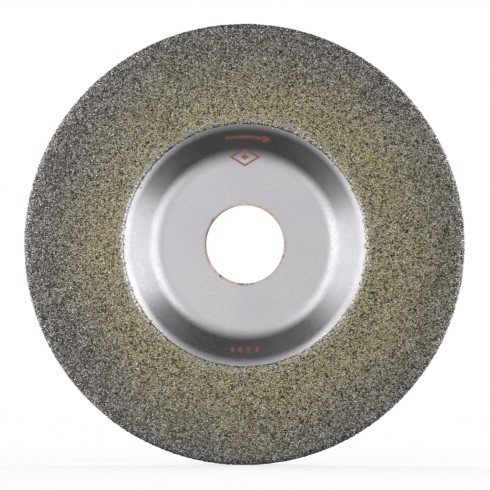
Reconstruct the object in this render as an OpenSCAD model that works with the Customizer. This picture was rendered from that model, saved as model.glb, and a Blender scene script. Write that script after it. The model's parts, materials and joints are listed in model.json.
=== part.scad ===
// Electroplated diamond grinding wheel with a depressed centre, for an angle grinder.
//
// The wheel stands upright: its axis is Y, its abrasive face looks along -Y, and Z is up.
// The origin is on the axis, in the plane of the seating face on the back of the hub.
//
// One pressed steel disc carries everything. A copper strike covers it all over except in
// the bore, which is reamed after plating. Bright nickel covers the dish and the back. A thick
// nickel bond on the flat band and round the rim holds a single layer of diamond grains.
// Each grain zone is drawn as the thin layer that the grains' tops stand in.

/* [Wheel] */
// Diameter over the diamonds on the rim
outer_d = 125; // [105:0.5:180]
// Diameter of the spindle bore
bore_d = 22.23; // [16:0.01:25.4]
// Thickness of the steel disc
steel_t = 2.0; // [1.2:0.1:3]

/* [Depressed centre] */
// Diameter of the flat bottom of the dish
hub_flat_d = 45.8; // [40:0.2:54]
// How far the hub is set back from the steel of the flat band
recess_h = 5.0; // [4:0.1:7]
// Slope of the dish's wall against the flat band, in degrees
wall_angle = 29; // [24:1:34]
// Radius of the hollow fillet between the flat bottom and the wall
fillet_r = 9.6; // [6:0.1:11]
// Radius of the rounded shoulder between the wall and the flat band
shoulder_r = 9.2; // [6:0.1:11]

/* [Rim] */
// Radius of the steel's corner on the abrasive side
face_corner_r = 1.0; // [0.6:0.05:1]
// Radius of the steel's corner on the back
back_corner_r = 0.2; // [0.1:0.05:0.2]

/* [Plating] */
// Thickness of the copper strike
copper_t = 0.1; // [0.05:0.01:0.15]
// Thickness of the bright nickel on the dish and the back
nickel_t = 0.1; // [0.05:0.01:0.15]
// Thickness of the nickel that holds the grains
bond_t = 0.3; // [0.2:0.01:0.4]
// Height of the grains' tops above the nickel bond
grain_stand = 0.2; // [0.1:0.01:0.3]
// Ring of bare copper where the bright nickel stops short of the bore
bare_copper_w = 0.6; // [0.2:0.05:1]

/* [Abrasive band] */
// Slope of the shoulder where the abrasive starts, in degrees
band_start_slope = 12.5; // [8:0.5:20]
// Share of the flat band that the inner grains take
inner_share = 0.2; // [0.1:0.05:0.3]
// Share of the flat band that the outer grains take
outer_share = 0.4; // [0.2:0.05:0.5]

/* [Marks] */
// Width of the lines burnt through the nickel down to the copper
mark_line_w = 0.6; // [0.4:0.05:0.8]
// Angle that the rotation arrow spans at the top of the wall
arrow_angle = 20; // [16:1:40]
// Width and length of the arrow's head
arrow_head = 2.4; // [1.6:0.1:3]
// Height of the hollow lozenge below the arrow
emblem_h = 5.4; // [4:0.1:5.6]
// Width of the hollow lozenge below the arrow
emblem_w = 9; // [6:0.1:10]
// Number of grade lozenges at the bottom of the wall
grade_count = 4; // [1:1:5]
// Distance between the centres of two lozenges
grade_pitch = 2.3; // [2:0.1:3]
// Height of a lozenge
lozenge_h = 2.2; // [1.4:0.1:2.6]
// Width of a lozenge
lozenge_w = 1.5; // [1:0.1:1.8]

/* [Hidden] */
$fn = 128;
// Straight steps that a rounded stretch of the section is drawn with
arc_steps = 24;
// Distance that a cut runs past the surface it cuts
past = 1;

bore_r = bore_d / 2;
hub_flat_r = hub_flat_d / 2;
// The steel disc stops short of the full diameter by the layers on its rim
steel_r = outer_d / 2 - copper_t - bond_t - grain_stand;

// Heights of the steel above the seating face on the back
steel_back_h = copper_t + nickel_t;
hub_front_h = steel_back_h + steel_t;
face_h = hub_front_h + recess_h;
band_back_h = face_h - steel_t;

// The straight part of the wall takes up what the two rounded stretches leave of the depth
wall_h = recess_h - (fillet_r + shoulder_r) * (1 - cos(wall_angle));
wall_w = wall_h / tan(wall_angle);
wall_start_r = hub_flat_r + fillet_r * sin(wall_angle);
wall_end_r = wall_start_r + wall_w;
shoulder_end_r = wall_end_r + shoulder_r * sin(wall_angle);
face_flat_end_r = steel_r - face_corner_r;
flat_band_w = face_flat_end_r - shoulder_end_r;
middle_start_r = shoulder_end_r + inner_share * flat_band_w;
outer_start_r = face_flat_end_r - outer_share * flat_band_w;

// Centres of the rounded stretches of the section, as [radius, height]
fillet_centre = [hub_flat_r, hub_front_h + fillet_r];
shoulder_centre = [shoulder_end_r, face_h - shoulder_r];
face_corner_centre = [steel_r - face_corner_r, face_h - face_corner_r];
back_corner_centre = [steel_r - back_corner_r, band_back_h + back_corner_r];

// Levels of the layers, measured outwards from the steel
bond_level = copper_t + bond_t;
nickel_level = copper_t + nickel_t;
grain_level = bond_level + grain_stand;

arrow_r = (wall_start_r + wall_end_r) / 2 + mark_line_w;
arrow_line_w = arrow_head / 3;
emblem_r = wall_start_r - emblem_h / 2;
grade_r = (wall_start_r + wall_end_r) / 2;

// The point at a distance and an angle from the origin
function polar(radius, angle) =
    radius * [cos(angle), sin(angle)];

// Points of an arc about a centre, from one angle to another
function arc(centre, radius, from, to) =
    [for (i = [0:arc_steps]) centre + polar(radius, from + (to - from) * i / arc_steps)];

function reversed(points) =
    [for (i = [len(points) - 1:-1:0]) points[i]];

function without_first(points) =
    [for (i = [1:len(points) - 1]) points[i]];

// A line that follows the dish at a level above the front of the steel, or below it for a
// level less than zero, from a radius on the hub up to where the abrasive starts
function dish_line(level, from_r) =
    concat(
        [[from_r, hub_front_h + level]],
        arc(fillet_centre, fillet_r - level, -90, wall_angle - 90),
        arc(shoulder_centre, shoulder_r + level, wall_angle + 90, band_start_slope + 90));

// The rest of the shoulder, from where the abrasive starts to the flat band
function shoulder_line(level) =
    arc(shoulder_centre, shoulder_r + level, band_start_slope + 90, 90);

// Both lines as one, from a radius on the hub to the flat band
function disc_line(level, from_r) =
    concat(dish_line(level, from_r), without_first(shoulder_line(level)));

// A line round the corner on the abrasive side and down the rim, at a level above the steel
function rim_line(level) =
    concat(
        arc(face_corner_centre, face_corner_r + level, 90, 0),
        [[steel_r + level, back_corner_centre[1]]]);

// The whole outline of the disc at a level above the steel, from the front edge of the bore
// round the rim to the back edge of the bore
function disc_outline(level) =
    concat(
        disc_line(level, bore_r),
        rim_line(level),
        arc(back_corner_centre, back_corner_r + level, 0, -90),
        reversed(disc_line(-steel_t - level, bore_r)));

// Turns a section of [radius, height] points into a ring about the wheel's axis
module ring(points) {
    rotate([90, 0, 0])
        rotate_extrude()
            polygon(points);
}

// The pressed steel disc with its reamed bore
module steel_body() {
    color("dimgray")
        ring(disc_outline(0));
}

// The copper strike, which shows as a ring round the bore and at the bottom of the marks
module copper_strike() {
    color("peru")
        ring(concat(disc_outline(copper_t), reversed(disc_outline(0))));
}

// The bright nickel on the dish, with the marks cut through it
module front_nickel() {
    nickel_start_r = bore_r + bare_copper_w;
    color("silver")
        difference() {
            ring(concat(
                dish_line(nickel_level, nickel_start_r),
                reversed(dish_line(copper_t, nickel_start_r))));
            marks();
        }
}

// The bright nickel on the back, from the bore to the rim's back corner
module back_nickel() {
    color("lightgray")
        ring(concat(
            arc(back_corner_centre, back_corner_r + nickel_level, 0, -90),
            reversed(disc_line(-steel_t - nickel_level, bore_r)),
            disc_line(-steel_t - copper_t, bore_r),
            reversed(arc(back_corner_centre, back_corner_r + copper_t, 0, -90))));
}

// The thick nickel that holds the grains, from the shoulder over the flat band and the rim
module nickel_bond() {
    color("darkkhaki")
        ring(concat(
            shoulder_line(bond_level),
            rim_line(bond_level),
            reversed(rim_line(copper_t)),
            reversed(shoulder_line(copper_t))));
}

// One zone of grains on the flat band, as the layer that their tops stand in
module grain_band(from_r, to_r) {
    ring([
        [from_r, face_h + bond_level],
        [to_r, face_h + bond_level],
        [to_r, face_h + grain_level],
        [from_r, face_h + grain_level]]);
}

// The inner zone of grains, which starts on the shoulder
module inner_grains() {
    color("olive")
        ring(concat(
            shoulder_line(bond_level),
            [[middle_start_r, face_h + bond_level]],
            [[middle_start_r, face_h + grain_level]],
            reversed(shoulder_line(grain_level))));
}

module middle_grains() {
    color("darkolivegreen")
        grain_band(middle_start_r, outer_start_r);
}

module outer_grains() {
    color("gray")
        grain_band(outer_start_r, face_flat_end_r);
}

// The grains that wrap the corner and the rim
module edge_grains() {
    color("slategray")
        ring(concat(rim_line(grain_level), reversed(rim_line(bond_level))));
}

// Everything that is burnt through the nickel, as cuts along the axis
module marks() {
    rotate([90, 0, 0])
        translate([0, 0, hub_front_h])
            linear_extrude(recess_h + past) {
                rotation_arrow();
                emblem();
                grade_marks();
            }
}

// A curved line along the top of the wall with a head at its clockwise end
module rotation_arrow() {
    tail_angle = 90 + arrow_angle / 2;
    head_angle = 90 - arrow_angle / 2;
    tip_angle = head_angle - atan(arrow_head / arrow_r);
    polygon(concat(
        arc([0, 0], arrow_r + arrow_line_w / 2, tail_angle, head_angle),
        [polar(arrow_r + arrow_head / 2, head_angle)],
        [polar(arrow_r, tip_angle)],
        [polar(arrow_r - arrow_head / 2, head_angle)],
        arc([0, 0], arrow_r - arrow_line_w / 2, head_angle, tail_angle)));
}

// A lozenge about the origin, of a width and a height
module lozenge(width, height) {
    polygon([[0, height / 2], [width / 2, 0], [0, -height / 2], [-width / 2, 0]]);
}

// A hollow lozenge with a small one in it, below the arrow, for a diamond tool
module emblem() {
    // What two slanting sides take off the width and the height inside them
    side_length = norm([emblem_w, emblem_h]);
    inner_w = emblem_w - 2 * mark_line_w * side_length / emblem_h;
    inner_h = emblem_h - 2 * mark_line_w * side_length / emblem_w;
    translate([0, emblem_r]) {
        difference() {
            lozenge(emblem_w, emblem_h);
            lozenge(inner_w, inner_h);
        }
        lozenge(inner_w * 0.4, inner_h * 0.4);
    }
}

// A row of lozenges at the bottom of the wall
module grade_marks() {
    for (i = [0:grade_count - 1])
        translate([(i - (grade_count - 1) / 2) * grade_pitch, -grade_r])
            lozenge(lozenge_w, lozenge_h);
}

steel_body();
copper_strike();
front_nickel();
back_nickel();
nickel_bond();
inner_grains();
middle_grains();
outer_grains();
edge_grains();
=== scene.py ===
"""Looks of the electroplated diamond grinding wheel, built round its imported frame.

The wheel's axis is Y, its abrasive face looks along -Y and Z is up. Sizes are in metres.
The steel, the copper and both bright nickel layers are the frame's own solids with finishes.
The nickel bond and the diamonds in it are made here, on the section that the frame gives.
"""

import json
import math

import bpy
import numpy as np
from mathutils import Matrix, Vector


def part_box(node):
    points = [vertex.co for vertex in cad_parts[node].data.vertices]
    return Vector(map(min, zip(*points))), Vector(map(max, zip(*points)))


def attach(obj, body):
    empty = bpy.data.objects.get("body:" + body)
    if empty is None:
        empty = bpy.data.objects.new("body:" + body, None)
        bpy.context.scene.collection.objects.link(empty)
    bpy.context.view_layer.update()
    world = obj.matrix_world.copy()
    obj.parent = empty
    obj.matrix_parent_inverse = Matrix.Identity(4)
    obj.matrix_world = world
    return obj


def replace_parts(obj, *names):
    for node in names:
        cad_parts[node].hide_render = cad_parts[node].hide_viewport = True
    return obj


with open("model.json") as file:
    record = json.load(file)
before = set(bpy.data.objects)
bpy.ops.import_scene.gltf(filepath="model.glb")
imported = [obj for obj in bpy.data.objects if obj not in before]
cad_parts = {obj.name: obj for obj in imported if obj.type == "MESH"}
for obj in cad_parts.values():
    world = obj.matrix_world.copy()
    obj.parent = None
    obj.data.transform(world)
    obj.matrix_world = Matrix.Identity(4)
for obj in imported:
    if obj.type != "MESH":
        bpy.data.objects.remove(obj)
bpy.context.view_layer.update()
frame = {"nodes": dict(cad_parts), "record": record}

MM = 0.001
BODY = "root"
SEED = 125
BOND_SEED = SEED + 50

# ---------------------------------------------------------------- sizes from the frame

bore_r = frame["record"]["mounts"][0]["dims"]["r_mm"] * MM
band_start_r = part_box("front_nickel")[1].x
middle_start_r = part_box("inner_grains")[1].x
outer_start_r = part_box("middle_grains")[1].x
corner_start_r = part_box("outer_grains")[1].x
bond_rim_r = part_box("nickel_bond")[1].x
wheel_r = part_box("edge_grains")[1].x
bond_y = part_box("outer_grains")[1].y
rim_end_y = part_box("edge_grains")[1].y
bond_corner_r = bond_rim_r - corner_start_r
bond_thickness = 0.3 * MM
nickel_below_bond = 0.2 * MM

# The abrasive starts on the rounded shoulder, which drops this far below the flat band there
shoulder_bend_r = 9.6 * MM
shoulder_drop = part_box("inner_grains")[1].y - bond_y
start_slope = math.acos(1 - shoulder_drop / shoulder_bend_r)
shoulder_end_r = band_start_r + (shoulder_bend_r - bond_thickness) * math.sin(start_slope)

# Distances along the bond's section, which equal the radius on the flat band
start_s = shoulder_end_r - shoulder_bend_r * start_slope
corner_end_s = corner_start_r + bond_corner_r * math.pi / 2
rim_end_s = corner_end_s + rim_end_y - (bond_y + bond_corner_r)

# ---------------------------------------------------------------- sizes of the deposit

# Grains sit in rows round the axis, each shifted by up to a share of the gap between them
grain_side = 0.38 * MM
grain_gap = 0.47 * MM
grain_row_gap = 0.93 * grain_gap
grain_shift = 0.27
grain_lift = 0.06 * MM
stray_count = 150
stray_reach = 0.2 * MM
bond_step = 0.42 * MM
bond_ripple = 0.08 * MM
bond_under_rows = 12

# Room past the zones' ends: inwards for the wandering start, and short of the rim's end
start_room = 0.8 * MM
rim_room = 0.1 * MM

# The nickel greys the diamonds from one radius to the other
grey_from_r = 42 * MM
grey_to_r = 60 * MM


def on_bond(s):
    """Radius, place along Y, and the normal's two parts, at a distance s along the bond's section."""
    slope = np.maximum(shoulder_end_r - s, 0) / shoulder_bend_r
    turn = np.clip((s - corner_start_r) / bond_corner_r, 0, math.pi / 2)
    beyond = np.maximum(s - corner_end_s, 0)
    radius = np.clip(s, shoulder_end_r, corner_start_r)
    radius = radius - shoulder_bend_r * np.sin(slope) + bond_corner_r * np.sin(turn)
    drop = shoulder_bend_r * (1 - np.cos(slope)) + bond_corner_r * (1 - np.cos(turn))
    return radius, bond_y + drop + beyond, np.sin(turn) - np.sin(slope), -np.cos(turn - slope)


def around(radius, along, angle):
    """Points at a radius, a place along Y and an angle from +X."""
    radius, along, angle = np.broadcast_arrays(radius, along, angle)
    return np.stack([radius * np.cos(angle), along, radius * np.sin(angle)], -1)


# ---------------------------------------------------------------- mesh helpers


def mesh_piece(name, points, faces, material):
    """A piece from points and equal-sided faces, which rides on the wheel."""
    mesh = bpy.data.meshes.new(name)
    count, sides = faces.shape
    mesh.vertices.add(len(points))
    mesh.vertices.foreach_set("co", points.astype(np.float32).ravel())
    mesh.loops.add(count * sides)
    mesh.loops.foreach_set("vertex_index", faces.astype(np.int32).ravel())
    mesh.polygons.add(count)
    mesh.polygons.foreach_set("loop_start", np.arange(0, count * sides, sides, dtype=np.int32))
    mesh.update(calc_edges=True)
    mesh.validate()
    mesh.materials.append(material)
    piece = bpy.data.objects.new(name, mesh)
    bpy.context.scene.collection.objects.link(piece)
    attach(piece, BODY)
    return piece


def random_turns(rng, count):
    """Rotation matrices spread evenly over all directions."""
    w, x, y, z = rng.normal(size=(4, count))
    length = np.sqrt(w * w + x * x + y * y + z * z)
    w, x, y, z = w / length, x / length, y / length, z / length
    return np.stack([
        np.stack([1 - 2 * (y * y + z * z), 2 * (x * y - w * z), 2 * (x * z + w * y)], -1),
        np.stack([2 * (x * y + w * z), 1 - 2 * (x * x + z * z), 2 * (y * z - w * x)], -1),
        np.stack([2 * (x * z - w * y), 2 * (y * z + w * x), 1 - 2 * (x * x + y * y)], -1),
    ], 1)


# A crystal starts as a block: its corners, and its sides as outward triangles.
# Each is stretched along its three sides, and each corner is then shifted by a share of a side.
# In its cell of the map, its corners lie on a circle with the spread as its radius.
BLOCK_CORNERS = np.array([[x, y, z] for x in (-1, 1) for y in (-1, 1) for z in (-1, 1)]) / 2
BLOCK_SIDES = np.array([
    [0, 1, 3], [0, 3, 2], [4, 6, 7], [4, 7, 5],
    [0, 4, 5], [0, 5, 1], [2, 3, 7], [2, 7, 6],
    [0, 2, 6], [0, 6, 4], [1, 5, 7], [1, 7, 3],
])
LEAST_STRETCH = 0.78
MOST_STRETCH = 1.12
CORNER_SHIFT = 0.14
CELL_SPREAD = 0.35


def crystals(name, centres, sides, tints, rng, slot, material):
    """One uneven blocky crystal at each centre, each with its own tint and its own cell of the map."""
    count = len(centres)
    corners_each = len(BLOCK_CORNERS)
    corners = BLOCK_CORNERS * rng.uniform(LEAST_STRETCH, MOST_STRETCH, (count, 1, 3))
    corners = corners + rng.uniform(-CORNER_SHIFT, CORNER_SHIFT, (count, corners_each, 3))
    corners = corners * sides[:, None, None]
    corners = np.einsum("nij,nkj->nki", random_turns(rng, count), corners)
    points = (centres[:, None, :] + corners).reshape(-1, 3)
    faces = (BLOCK_SIDES[None] + corners_each * np.arange(count)[:, None, None]).reshape(-1, 3)
    piece = mesh_piece(name, points, faces, material)
    tint = piece.data.attributes.new("tint", "FLOAT", "POINT")
    tint.data.foreach_set("value", np.repeat(np.clip(tints, 0, 1), corners_each).astype(np.float32))
    cells_across = math.ceil(math.sqrt(count))
    cell = np.arange(count)
    middle = np.stack([cell % cells_across, cell // cells_across], -1) + 0.5
    turn = np.arange(corners_each) * math.tau / corners_each
    spread = CELL_SPREAD * np.stack([np.cos(turn), np.sin(turn)], -1)
    places = (middle[:, None, :] + spread[None]) / cells_across
    layer = piece.data.uv_layers.new(name="OFBake")
    layer.uv.foreach_set("vector", places.reshape(-1, 2)[faces.ravel()].astype(np.float32).ravel())
    return piece


def ragged_start(angle):
    """Where the abrasive starts: it wanders, and lies further in at the upper left than elsewhere."""
    waves = np.sin(23 * angle + 1) + np.sin(61 * angle) + np.sin(137 * angle + 2)
    return start_s + (0.03 * waves - 0.09 - 0.3 * (1 - np.cos(angle + 1))) * MM


def near_start(s, reach):
    """One where the abrasive starts, falling off over a reach further out."""
    return np.exp(-np.maximum(s - start_s, 0) / reach)


def grains(from_s, to_s, rng):
    """Centres, sides and tints of the grains between two distances along the bond's section."""
    rows = max(round((to_s - from_s) / grain_row_gap), 1)
    spots = []
    for row in range(rows):
        row_s = from_s + (row + 0.5) * (to_s - from_s) / rows
        count = int(math.tau * on_bond(row_s)[0] / grain_gap)
        step = np.arange(count) + rng.random() + rng.uniform(-grain_shift, grain_shift, count)
        angle = step * math.tau / count
        s = np.clip(row_s + rng.uniform(-grain_shift, grain_shift, count) * grain_gap, from_s, to_s)
        spots.append(np.stack([s, angle]))
    s, angle = np.concatenate(spots, 1)
    radius, along, out, forward = on_bond(s)
    # Near the start the grains sit lower and leave more gaps, and are lighter as a painted highlight where
    # the shoulder's slope catches the side lights. Those on the rounded edge are a little lighter too.
    lift = grain_lift + rng.uniform(-0.07, 0.07, len(s)) * MM
    lift -= (0.08 * near_start(s, 1.2 * MM) + 0.12 * near_start(s, 0.4 * MM)) * MM
    sides = grain_side * rng.uniform(0.82, 1.18, len(s))
    tints = rng.random(len(s)) + 0.1 * near_start(s, 1.2 * MM) + 0.06 * (s > corner_start_r)
    kept = (rng.random(len(s)) > 0.45 * near_start(s, 0.9 * MM)) & (s > ragged_start(angle) + 0.12 * MM)
    centres = around(radius + out * lift, along + forward * lift, angle)
    return centres[kept], sides[kept], tints[kept]


def strays(rng):
    """Lone small grains on the plain shoulder, just inside the abrasive."""
    angle = rng.uniform(0, math.tau, stray_count)
    s = ragged_start(angle) - np.abs(rng.normal(size=stray_count)) * stray_reach
    radius, along, out, forward = on_bond(s)
    sides = grain_side * rng.uniform(0.3, 0.95, stray_count)
    lift = sides * 0.2 - nickel_below_bond
    # Lone grains are never dark and are more often white than the rest: painted glints on the shoulder
    tints = rng.uniform(0.3, 1.1, stray_count)
    return around(radius + out * lift, along + forward * lift, angle), sides, tints


def bond_ring(material):
    """The rough nickel deposit as one closed ring, rippled where it climbs between the grains."""
    rng = np.random.default_rng(BOND_SEED)
    # Rows along the section, closer together where the deposit starts
    edge_s = start_s + np.array([0, 0.15, 0.3, 0.5, 0.7]) * MM
    rest_s = np.linspace(start_s + 0.9 * MM, rim_end_s, round((rim_end_s - start_s) / bond_step))
    s = np.concatenate([edge_s, rest_s])
    columns = round(math.tau * corner_start_r / bond_step)
    angle = np.arange(columns) * math.tau / columns
    # Where the deposit starts, it is thin and its edge wanders. Its last row ends evenly.
    creep = ragged_start(angle) - start_s + rng.uniform(-0.04, 0.04, columns) * MM
    ripple = rng.uniform(-1, 1, (len(s), columns)) * bond_ripple
    ripple[-1] = 0
    thin = near_start(s, 0.3 * MM)[:, None]
    level = ripple * (1 - thin) - thin * nickel_below_bond
    radius, along, out, forward = on_bond(s[:, None] + creep[None] * near_start(s, 2 * MM)[:, None])
    outer = around(radius + out * level, along + forward * level, angle[None])
    under_s = np.linspace(rim_end_s, start_s, bond_under_rows)
    radius, along, out, forward = on_bond(under_s)
    inner = around(
        (radius - out * bond_thickness)[:, None],
        (along - forward * bond_thickness)[:, None],
        angle[None])
    grid = np.concatenate([outer, inner])
    total = len(grid)
    row, column = np.meshgrid(np.arange(total), np.arange(columns), indexing="ij")
    next_row, next_column = (row + 1) % total, (column + 1) % columns
    faces = np.stack([
        row * columns + column, next_row * columns + column,
        next_row * columns + next_column, row * columns + next_column], -1).reshape(-1, 4)
    piece = mesh_piece("bond_deposit", grid.reshape(-1, 3), faces, material)
    piece.data.shade_smooth()
    return piece


# ---------------------------------------------------------------- shader helpers


def feed(tree, socket, value):
    """Sets an input socket, or links it where the value is a socket."""
    if isinstance(value, bpy.types.NodeSocket):
        tree.links.new(value, socket)
    else:
        socket.default_value = value


def add(tree, kind, **values):
    """A node with its named inputs fed."""
    node = tree.nodes.new(kind)
    for name, value in values.items():
        feed(tree, node.inputs[name.replace("_", " ")], value)
    return node


def maths(tree, operation, *values, clamp=False):
    """The result of one maths operation on values or sockets."""
    node = tree.nodes.new("ShaderNodeMath")
    node.operation = operation
    node.use_clamp = clamp
    for socket, value in zip(node.inputs, values):
        feed(tree, socket, value)
    return node.outputs[0]


def mixed(tree, factor, first, second):
    """A colour between two colours or colour sockets."""
    node = tree.nodes.new("ShaderNodeMix")
    node.data_type = "RGBA"
    feed(tree, node.inputs[0], factor)
    for socket, colour in ((node.inputs[6], first), (node.inputs[7], second)):
        feed(tree, socket, (*colour, 1) if isinstance(colour, tuple) else colour)
    return node.outputs[2]


def ranged(tree, value, low, high, to_low=0.0, to_high=1.0):
    """A value carried smoothly from one range to another."""
    node = add(
        tree, "ShaderNodeMapRange",
        Value=value, From_Min=low, From_Max=high, To_Min=to_low, To_Max=to_high)
    node.interpolation_type = "SMOOTHSTEP"
    return node.outputs[0]


def ramp(tree, value, stops):
    """A colour from a value by stops of (place, colour)."""
    node = tree.nodes.new("ShaderNodeValToRGB")
    elements = node.color_ramp.elements
    while len(elements) < len(stops):
        elements.new(0.5)
    for element, (place, colour) in zip(elements, stops):
        element.position = place
        element.color = (*colour, 1)
    tree.links.new(value, node.inputs[0])
    return node.outputs[0]


def noise(tree, vector, scale, detail=3.0):
    """A noise value at a place."""
    return add(tree, "ShaderNodeTexNoise", Vector=vector, Scale=scale, Detail=detail).outputs["Fac"]


def in_place(tree):
    """The place on the wheel, in its own axes."""
    return tree.nodes.new("ShaderNodeTexCoord").outputs["Object"]


def new_group(name, inputs, outputs):
    """An empty shader group with named number sockets, and its input and output nodes."""
    group = bpy.data.node_groups.new(name, "ShaderNodeTree")
    for label, default in inputs:
        socket = group.interface.new_socket(label, in_out="INPUT", socket_type="NodeSocketFloat")
        socket.default_value = default
    for label in outputs:
        group.interface.new_socket(label, in_out="OUTPUT", socket_type="NodeSocketFloat")
    return group, group.nodes.new("NodeGroupInput"), group.nodes.new("NodeGroupOutput")


def placed(tree, group, **values):
    """The outputs of a group in a material, with its named inputs fed."""
    node = tree.nodes.new("ShaderNodeGroup")
    node.node_tree = group
    for name, value in values.items():
        feed(tree, node.inputs[name.replace("_", " ")], value)
    return node.outputs


def new_material(name, **values):
    """A material with plain values on its Principled shader, its tree and that shader."""
    material = bpy.data.materials.new(name)
    material.use_nodes = True
    shader = material.node_tree.nodes["Principled BSDF"]
    for label, value in values.items():
        shader.inputs[label.replace("_", " ")].default_value = value
    return material, material.node_tree, shader


def bumped(tree, shader, height, distance, strength):
    """Bends a shader's normal by a height."""
    node = add(tree, "ShaderNodeBump", Height=height, Distance=distance, Strength=strength)
    tree.links.new(node.outputs[0], shader.inputs["Normal"])


# ---------------------------------------------------------------- shared effects


def axis_distance_group():
    """A mask that rises from one radius to another, round the axis or a line aside and below it."""
    group, given, made = new_group(
        "axis distance",
        [("From Radius", 0.0), ("To Radius", 1.0), ("Aside", 0.0), ("Below", 0.0)],
        ["Mask"])
    parts = add(group, "ShaderNodeSeparateXYZ", Vector=in_place(group)).outputs
    across = maths(group, "SUBTRACT", parts[0], given.outputs["Aside"])
    up = maths(group, "ADD", parts[2], given.outputs["Below"])
    squares = maths(group, "MULTIPLY_ADD", across, across, maths(group, "MULTIPLY", up, up))
    radius = maths(group, "SQRT", squares)
    span = maths(group, "SUBTRACT", given.outputs["To Radius"], given.outputs["From Radius"])
    above = maths(group, "SUBTRACT", radius, given.outputs["From Radius"])
    group.links.new(maths(group, "DIVIDE", above, span, clamp=True), made.inputs["Mask"])
    return group


def smudge_group():
    """Soft uneven patches, as handling and rinsing leave on plated metal."""
    group, given, made = new_group(
        "smudges", [("Patch Scale", 60.0), ("Cloud Scale", 18.0)], ["Value"])
    place = in_place(group)
    patch = noise(group, place, given.outputs["Patch Scale"], 4.0)
    cloud = noise(group, place, given.outputs["Cloud Scale"], 2.0)
    both = maths(group, "ADD", maths(group, "MULTIPLY", patch, 0.5), maths(group, "MULTIPLY", cloud, 0.5))
    group.links.new(ranged(group, both, 0.35, 0.65), made.inputs["Value"])
    return group


def ring_streak_group():
    """Streaks that run round the axis, long one way and narrow the other."""
    group, given, made = new_group(
        "ring streaks", [("Around Scale", 6.0), ("Across Scale", 1500.0)], ["Value"])
    flat = add(group, "ShaderNodeVectorMath", Vector=in_place(group))
    flat.operation = "MULTIPLY"
    flat.inputs[1].default_value = (1, 0, 1)
    heading = add(group, "ShaderNodeVectorMath", Vector=flat.outputs[0])
    heading.operation = "NORMALIZE"
    parts = add(group, "ShaderNodeSeparateXYZ", Vector=heading.outputs[0]).outputs
    length = add(group, "ShaderNodeVectorMath", Vector=flat.outputs[0])
    length.operation = "LENGTH"
    where = add(
        group, "ShaderNodeCombineXYZ",
        X=maths(group, "MULTIPLY", parts[0], given.outputs["Around Scale"]),
        Y=maths(group, "MULTIPLY", length.outputs["Value"], given.outputs["Across Scale"]),
        Z=maths(group, "MULTIPLY", parts[2], given.outputs["Around Scale"])).outputs[0]
    group.links.new(noise(group, where, 1.0, 3.0), made.inputs["Value"])
    return group


def scratch_group():
    """Sparse thin straight scratches across the wheel at an angle."""
    group, given, made = new_group(
        "scratches",
        [("Angle", 0.6), ("Length Scale", 35.0), ("Width Scale", 900.0), ("Share", 0.05)],
        ["Value"])
    place = in_place(group)
    turned = add(group, "ShaderNodeVectorRotate", Vector=place, Angle=given.outputs["Angle"])
    turned.rotation_type = "Y_AXIS"
    parts = add(group, "ShaderNodeSeparateXYZ", Vector=turned.outputs[0]).outputs
    where = add(
        group, "ShaderNodeCombineXYZ",
        X=maths(group, "MULTIPLY", parts[0], given.outputs["Length Scale"]),
        Z=maths(group, "MULTIPLY", parts[2], given.outputs["Width Scale"])).outputs[0]
    line = ranged(group, noise(group, where, 1.0, 0.0), 0.68, 0.78)
    patch = ranged(group, noise(group, place, 50.0, 2.0), 0.45, 0.6)
    shown = maths(group, "MULTIPLY", maths(group, "MULTIPLY", line, patch), given.outputs["Share"])
    group.links.new(shown, made.inputs["Value"])
    return group


AXIS_DISTANCE = axis_distance_group()
SMUDGES = smudge_group()
RING_STREAKS = ring_streak_group()
SCRATCHES = scratch_group()

# ---------------------------------------------------------------- finishes

NICKEL_CLEAN = (0.825, 0.81, 0.84)
NICKEL_DULL = (0.66, 0.645, 0.675)
COPPER_CLEAN = (0.95, 0.67, 0.53)
COPPER_BURNT = (0.53, 0.24, 0.18)
# Dark tarnish by the bore, also used for the painted shade along its upper left edge
TARNISH_AND_SHADE = (0.09, 0.08, 0.08)
STEEL_DARK = (0.12, 0.12, 0.125)
STEEL_LIGHT = (0.32, 0.32, 0.33)
# Painted shade for the bond's pits between the grains
BOND_PIT_SHADE = (0.10, 0.09, 0.07)
BOND_TOP = (0.66, 0.63, 0.55)
BOND_THIN = (0.60, 0.58, 0.56)
NICKEL_CAST = (0.62, 0.53, 0.56)
FLOOR_PALE = (0.9, 0.9, 0.9)

# Each grain's tint picks its colour: few are near black, most are olive or grey, and some are white. The
# near-black and white grains are partly the grit's own tone, and partly painted shade in the gaps between
# grains and painted glints.
OLIVE_TINTS = [
    (0.0, (0.015, 0.012, 0.008)),
    (0.09, (0.07, 0.055, 0.03)),
    (0.18, (0.44, 0.37, 0.11)),
    (0.5, (0.86, 0.77, 0.30)),
    (0.78, (1.0, 0.94, 0.66)),
    (1.0, (1.0, 1.0, 0.96)),
]
GREY_TINTS = [
    (0.0, (0.015, 0.015, 0.014)),
    (0.09, (0.04, 0.037, 0.034)),
    (0.22, (0.16, 0.15, 0.135)),
    (0.65, (0.43, 0.41, 0.385)),
    (1.0, (1.0, 0.98, 0.98)),
]


def bore_tarnish_and_shade(tree):
    """Dark tarnish patches by the bore, and a painted shade line along its upper left edge, where the
    bore's wall lies in shade.
    """
    away = placed(
        tree, AXIS_DISTANCE, From_Radius=bore_r + 0.2 * MM, To_Radius=bore_r + 0.9 * MM)["Mask"]
    stretch = placed(tree, RING_STREAKS, Around_Scale=2.2, Across_Scale=60.0)["Value"]
    patch = maths(tree, "MULTIPLY", maths(tree, "SUBTRACT", 1.0, away), ranged(tree, stretch, 0.6, 0.68))
    # Painted shade: a dark crescent just past the bore's upper left edge
    beyond = placed(
        tree, AXIS_DISTANCE, From_Radius=bore_r - 0.5 * MM, To_Radius=bore_r - 0.3 * MM,
        Aside=-0.6 * MM, Below=-0.3 * MM)["Mask"]
    line = maths(tree, "MULTIPLY", maths(tree, "SUBTRACT", 1.0, beyond), 0.8)
    return maths(tree, "MAXIMUM", patch, line)


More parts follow.
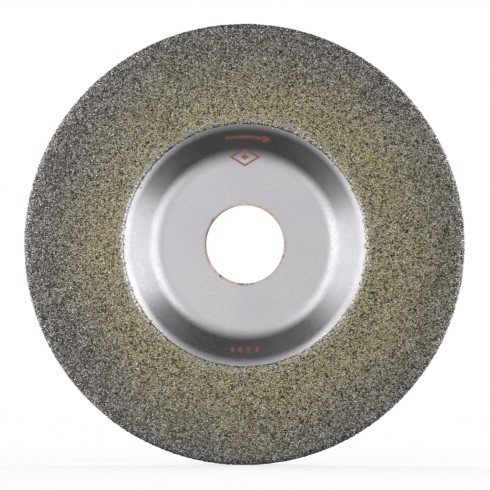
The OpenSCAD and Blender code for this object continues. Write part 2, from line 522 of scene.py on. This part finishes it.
def bright_nickel():
    """Satin nickel over the pressed steel: smudged, streaked, scratched and tarnished by the bore, with
    painted shade along the bore's upper left edge.
    """
    material, tree, shader = new_material("bright_nickel", Metallic=1.0)
    smudge = placed(tree, SMUDGES)["Value"]
    streak = placed(tree, RING_STREAKS)["Value"]
    scratch = placed(tree, SCRATCHES)["Value"]
    mottle = ranged(tree, noise(tree, in_place(tree), 2200.0, 2.0), 0.3, 0.7)
    uneven = maths(tree, "ADD", maths(tree, "MULTIPLY", smudge, 0.4), maths(tree, "MULTIPLY", streak, 0.3))
    uneven = maths(tree, "ADD", uneven, maths(tree, "MULTIPLY", mottle, 0.3))
    nickel = mixed(tree, uneven, NICKEL_DULL, NICKEL_CLEAN)
    # Tarnish by the bore, and painted shade along its upper left edge
    tree.links.new(mixed(tree, bore_tarnish_and_shade(tree), nickel, TARNISH_AND_SHADE), shader.inputs["Base Color"])
    worn = maths(tree, "ADD", scratch, ranged(tree, uneven, 0.2, 0.8, 0.36, 0.27))
    tree.links.new(worn, shader.inputs["Roughness"])
    bumped(tree, shader, streak, 0.005 * MM, 0.25)
    return material


def copper_strike():
    """Thin copper: partly covered by nickel at the bore, and stained where the marks are burnt."""
    material, tree, shader = new_material("copper_strike", Metallic=0.5)
    place = in_place(tree)
    stain = ranged(tree, noise(tree, place, 900.0, 3.0), 0.35, 0.65)
    outward = placed(tree, AXIS_DISTANCE, From_Radius=bore_r + 1 * MM, To_Radius=bore_r + 4 * MM)["Mask"]
    burnt = maths(tree, "MAXIMUM", maths(tree, "MULTIPLY", stain, 0.3), outward)
    stretch = placed(tree, RING_STREAKS, Around_Scale=3.0, Across_Scale=300.0)["Value"]
    covered = maths(tree, "SUBTRACT", ranged(tree, stretch, 0.42, 0.6, 0.05, 0.75), outward, clamp=True)
    colour = mixed(tree, covered, mixed(tree, burnt, COPPER_CLEAN, COPPER_BURNT), NICKEL_CLEAN)
    # Tarnish by the bore, and painted shade along its upper left edge
    tree.links.new(mixed(tree, bore_tarnish_and_shade(tree), colour, TARNISH_AND_SHADE), shader.inputs["Base Color"])
    tree.links.new(ranged(tree, stain, 0.0, 1.0, 0.38, 0.55), shader.inputs["Roughness"])
    bumped(tree, shader, noise(tree, place, 3000.0, 2.0), 0.01 * MM, 0.5)
    return material


def reamed_steel():
    """Bare steel with the reamer's fine rings along the bore."""
    material, tree, shader = new_material("reamed_steel", Metallic=1.0)
    along = add(tree, "ShaderNodeMapping", Vector=in_place(tree), Scale=(0.02, 1.0, 0.02)).outputs[0]
    rings = noise(tree, along, 5000.0, 2.0)
    tree.links.new(mixed(tree, rings, STEEL_DARK, STEEL_LIGHT), shader.inputs["Base Color"])
    tree.links.new(ranged(tree, rings, 0.3, 0.7, 0.3, 0.5), shader.inputs["Roughness"])
    bumped(tree, shader, rings, 0.01 * MM, 0.5)
    return material


def bond_nickel():
    """Dull grey nickel deposit with its pits painted dark as painted shade, cleaner where it is thin on
    the shoulder.
    """
    material, tree, shader = new_material("bond_nickel", Metallic=0.9)
    pits = noise(tree, in_place(tree), 2400.0)
    # Painted shade: the low spots of the pits' bump are painted dark
    dull_with_pit_shade = mixed(tree, ranged(tree, pits, 0.35, 0.65), BOND_PIT_SHADE, BOND_TOP)
    thick = placed(
        tree, AXIS_DISTANCE, From_Radius=band_start_r, To_Radius=shoulder_end_r + 1 * MM)["Mask"]
    tree.links.new(mixed(tree, thick, BOND_THIN, dull_with_pit_shade), shader.inputs["Base Color"])
    rough = maths(tree, "MULTIPLY_ADD", thick, 0.32, 0.18)
    tree.links.new(maths(tree, "MULTIPLY_ADD", pits, -0.1, rough), shader.inputs["Roughness"])
    bumped(tree, shader, pits, 0.12 * MM, maths(tree, "MULTIPLY_ADD", thick, 0.65, 0.15))
    return material


def diamond():
    """Blocky olive diamond, greyed outwards by the nickel, and by a thin cast on some grains."""
    material, tree, shader = new_material("diamond", Metallic=0.55, IOR=2.4)
    tint = add(tree, "ShaderNodeAttribute")
    tint.attribute_name = "tint"
    olive = ramp(tree, tint.outputs["Fac"], OLIVE_TINTS)
    grey = ramp(tree, tint.outputs["Fac"], GREY_TINTS)
    outward = placed(
        tree, AXIS_DISTANCE, From_Radius=grey_from_r, To_Radius=grey_to_r,
        Aside=2.8 * MM, Below=1.2 * MM)["Mask"]
    place = in_place(tree)
    patches = ranged(tree, noise(tree, place, 45.0), 0.3, 0.7, -0.15, 0.15)
    greyed = maths(tree, "ADD", outward, patches, clamp=True)
    cast = ranged(tree, noise(tree, place, 1900.0, 0.0), 0.45, 0.8, 0.0, 0.5)
    colour = mixed(tree, cast, mixed(tree, greyed, olive, grey), NICKEL_CAST)
    tree.links.new(colour, shader.inputs["Base Color"])
    tree.links.new(ranged(tree, tint.outputs["Fac"], 0.0, 1.0, 0.4, 0.2), shader.inputs["Roughness"])
    return material


# ---------------------------------------------------------------- the wheel


def finish_node(node, material):
    """Gives a frame node its finish."""
    for slot in frame["nodes"][node].material_slots:
        slot.material = material


def abrasive():
    """The bond and every zone of diamonds, each in place of its frame node."""
    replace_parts(bond_ring(bond_nickel()), "nickel_bond")
    material = diamond()
    zones = [
        ("inner", start_s - start_room, middle_start_r, "diamond"),
        ("middle", middle_start_r, outer_start_r, "diamond"),
        ("outer", outer_start_r, corner_start_r, "coated_diamond"),
        ("edge", corner_start_r, rim_end_s - rim_room, "coated_diamond"),
    ]
    for number, (zone, from_s, to_s, slot) in enumerate(zones):
        rng = np.random.default_rng(SEED + number)
        batch = grains(from_s, to_s, rng)
        if zone == "inner":
            batch = [np.concatenate(pair) for pair in zip(batch, strays(rng))]
        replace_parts(crystals(f"{zone}_diamonds", *batch, rng, slot, material), f"{zone}_grains")


finish_node("steel_body", reamed_steel())
finish_node("copper_strike", copper_strike())
plating = bright_nickel()
finish_node("front_nickel", plating)
finish_node("back_nickel", plating)
abrasive()

# ---------------------------------------------------------------- stage, light and camera

view_distance = 3.0
view_aside = math.radians(2.9)
view_below = math.radians(0.7)
sensor_width = 36.0
floor_reach = 3.0
floor_level = -wheel_r - 0.05 * MM
# The view's width over the wheel's, and how far the wheel sits left of its middle and above it
frame_share = 1.1126
left_share = 0.0021
up_share = 0.0016


def soft_box(name, angle, distance, width, height, radiance, level):
    """An upright soft box aimed at the wheel's axis, at an angle in degrees from -Y towards +X."""
    light = bpy.data.lights.new(name, "AREA")
    light.shape = "RECTANGLE"
    light.size = width
    light.size_y = height
    light.energy = math.pi * width * height * radiance
    panel = bpy.data.objects.new(name, light)
    turn = math.radians(angle)
    away = Vector((math.sin(turn), -math.cos(turn), 0))
    panel.location = away * distance + Vector((0, 0, level))
    panel.rotation_euler = away.to_track_quat("Z", "Y").to_euler()
    panel.visible_camera = False
    bpy.context.scene.collection.objects.link(panel)


def surround():
    """White to the eye; to the wheel, pale straight in front and behind, and dark on all sides."""
    world = bpy.data.worlds.new("studio")
    bpy.context.scene.world = world
    world.use_nodes = True
    tree = world.node_tree
    direction = tree.nodes.new("ShaderNodeTexCoord").outputs["Generated"]
    parts = add(tree, "ShaderNodeSeparateXYZ", Vector=direction).outputs
    facing = maths(tree, "ABSOLUTE", parts[1])
    glow = maths(tree, "MULTIPLY_ADD", maths(tree, "POWER", facing, 3.0), 0.82, -0.105)
    below = ranged(tree, parts[2], -0.22, -0.03, 0.82, 1.0)
    glow = maths(tree, "MULTIPLY", maths(tree, "MAXIMUM", glow, 0.0), below)
    seen = tree.nodes.new("ShaderNodeLightPath").outputs["Is Camera Ray"]
    strength = maths(tree, "MAXIMUM", seen, glow)
    back = tree.nodes["Background"]
    tree.links.new(strength, back.inputs["Strength"])
    back.inputs["Color"].default_value = (1, 1, 1, 1)


def floor():
    """A plain pale floor under the rim."""
    mesh = bpy.data.meshes.new("floor")
    corners = [(x * floor_reach, y * floor_reach, floor_level)
               for x, y in ((-1, -1), (1, -1), (1, 1), (-1, 1))]
    mesh.from_pydata(corners, [], [(0, 1, 2, 3)])
    plane = bpy.data.objects.new("floor", mesh)
    material = new_material("pale_floor", Roughness=0.9, Base_Color=(*FLOOR_PALE, 1))[0]
    mesh.materials.append(material)
    bpy.context.scene.collection.objects.link(plane)
    plane.is_shadow_catcher = True
    plane.visible_glossy = False
    plane.visible_diffuse = False


def camera():
    """Almost square to the abrasive face, from far off, a little to the right and below."""
    lens = bpy.data.cameras.new("camera")
    lens.sensor_width = sensor_width
    lens.lens = sensor_width * view_distance / (2 * wheel_r * frame_share)
    lens.shift_x = left_share
    lens.shift_y = -up_share
    eye = bpy.data.objects.new("camera", lens)
    target = Vector((0, bond_y, 0))
    offset = Vector((math.tan(view_aside), -1, -math.tan(view_below))).normalized()
    eye.location = target + offset * view_distance
    eye.rotation_euler = offset.to_track_quat("Z", "Y").to_euler()
    bpy.context.scene.collection.objects.link(eye)
    bpy.context.scene.camera = eye


# Angle, distance, width, height, radiance and level of each box. The same boxes stand in front of
# the wheel and behind it, and a core makes the middle of its box brighter.
for face, turned in (("front", 0), ("back", 180)):
    soft_box(f"{face}_left_box", turned - 42, 0.28, 0.28, 0.24, 0.96, 0.035)
    soft_box(f"{face}_left_core", turned - 35, 0.26, 0.11, 0.2, 0.18, 0.03)
    soft_box(f"{face}_right_box", turned + 42, 0.55, 0.55, 0.49, 0.88, 0.03)
    soft_box(f"{face}_right_core", turned + 39, 0.52, 0.29, 0.39, 0.48, 0.03)
    soft_box(f"{face}_left_strip", turned - 84, 0.22, 0.06, 0.18, 6.0, 0.03)
surround()
floor()
camera()
bpy.context.scene.view_settings.view_transform = "Standard"
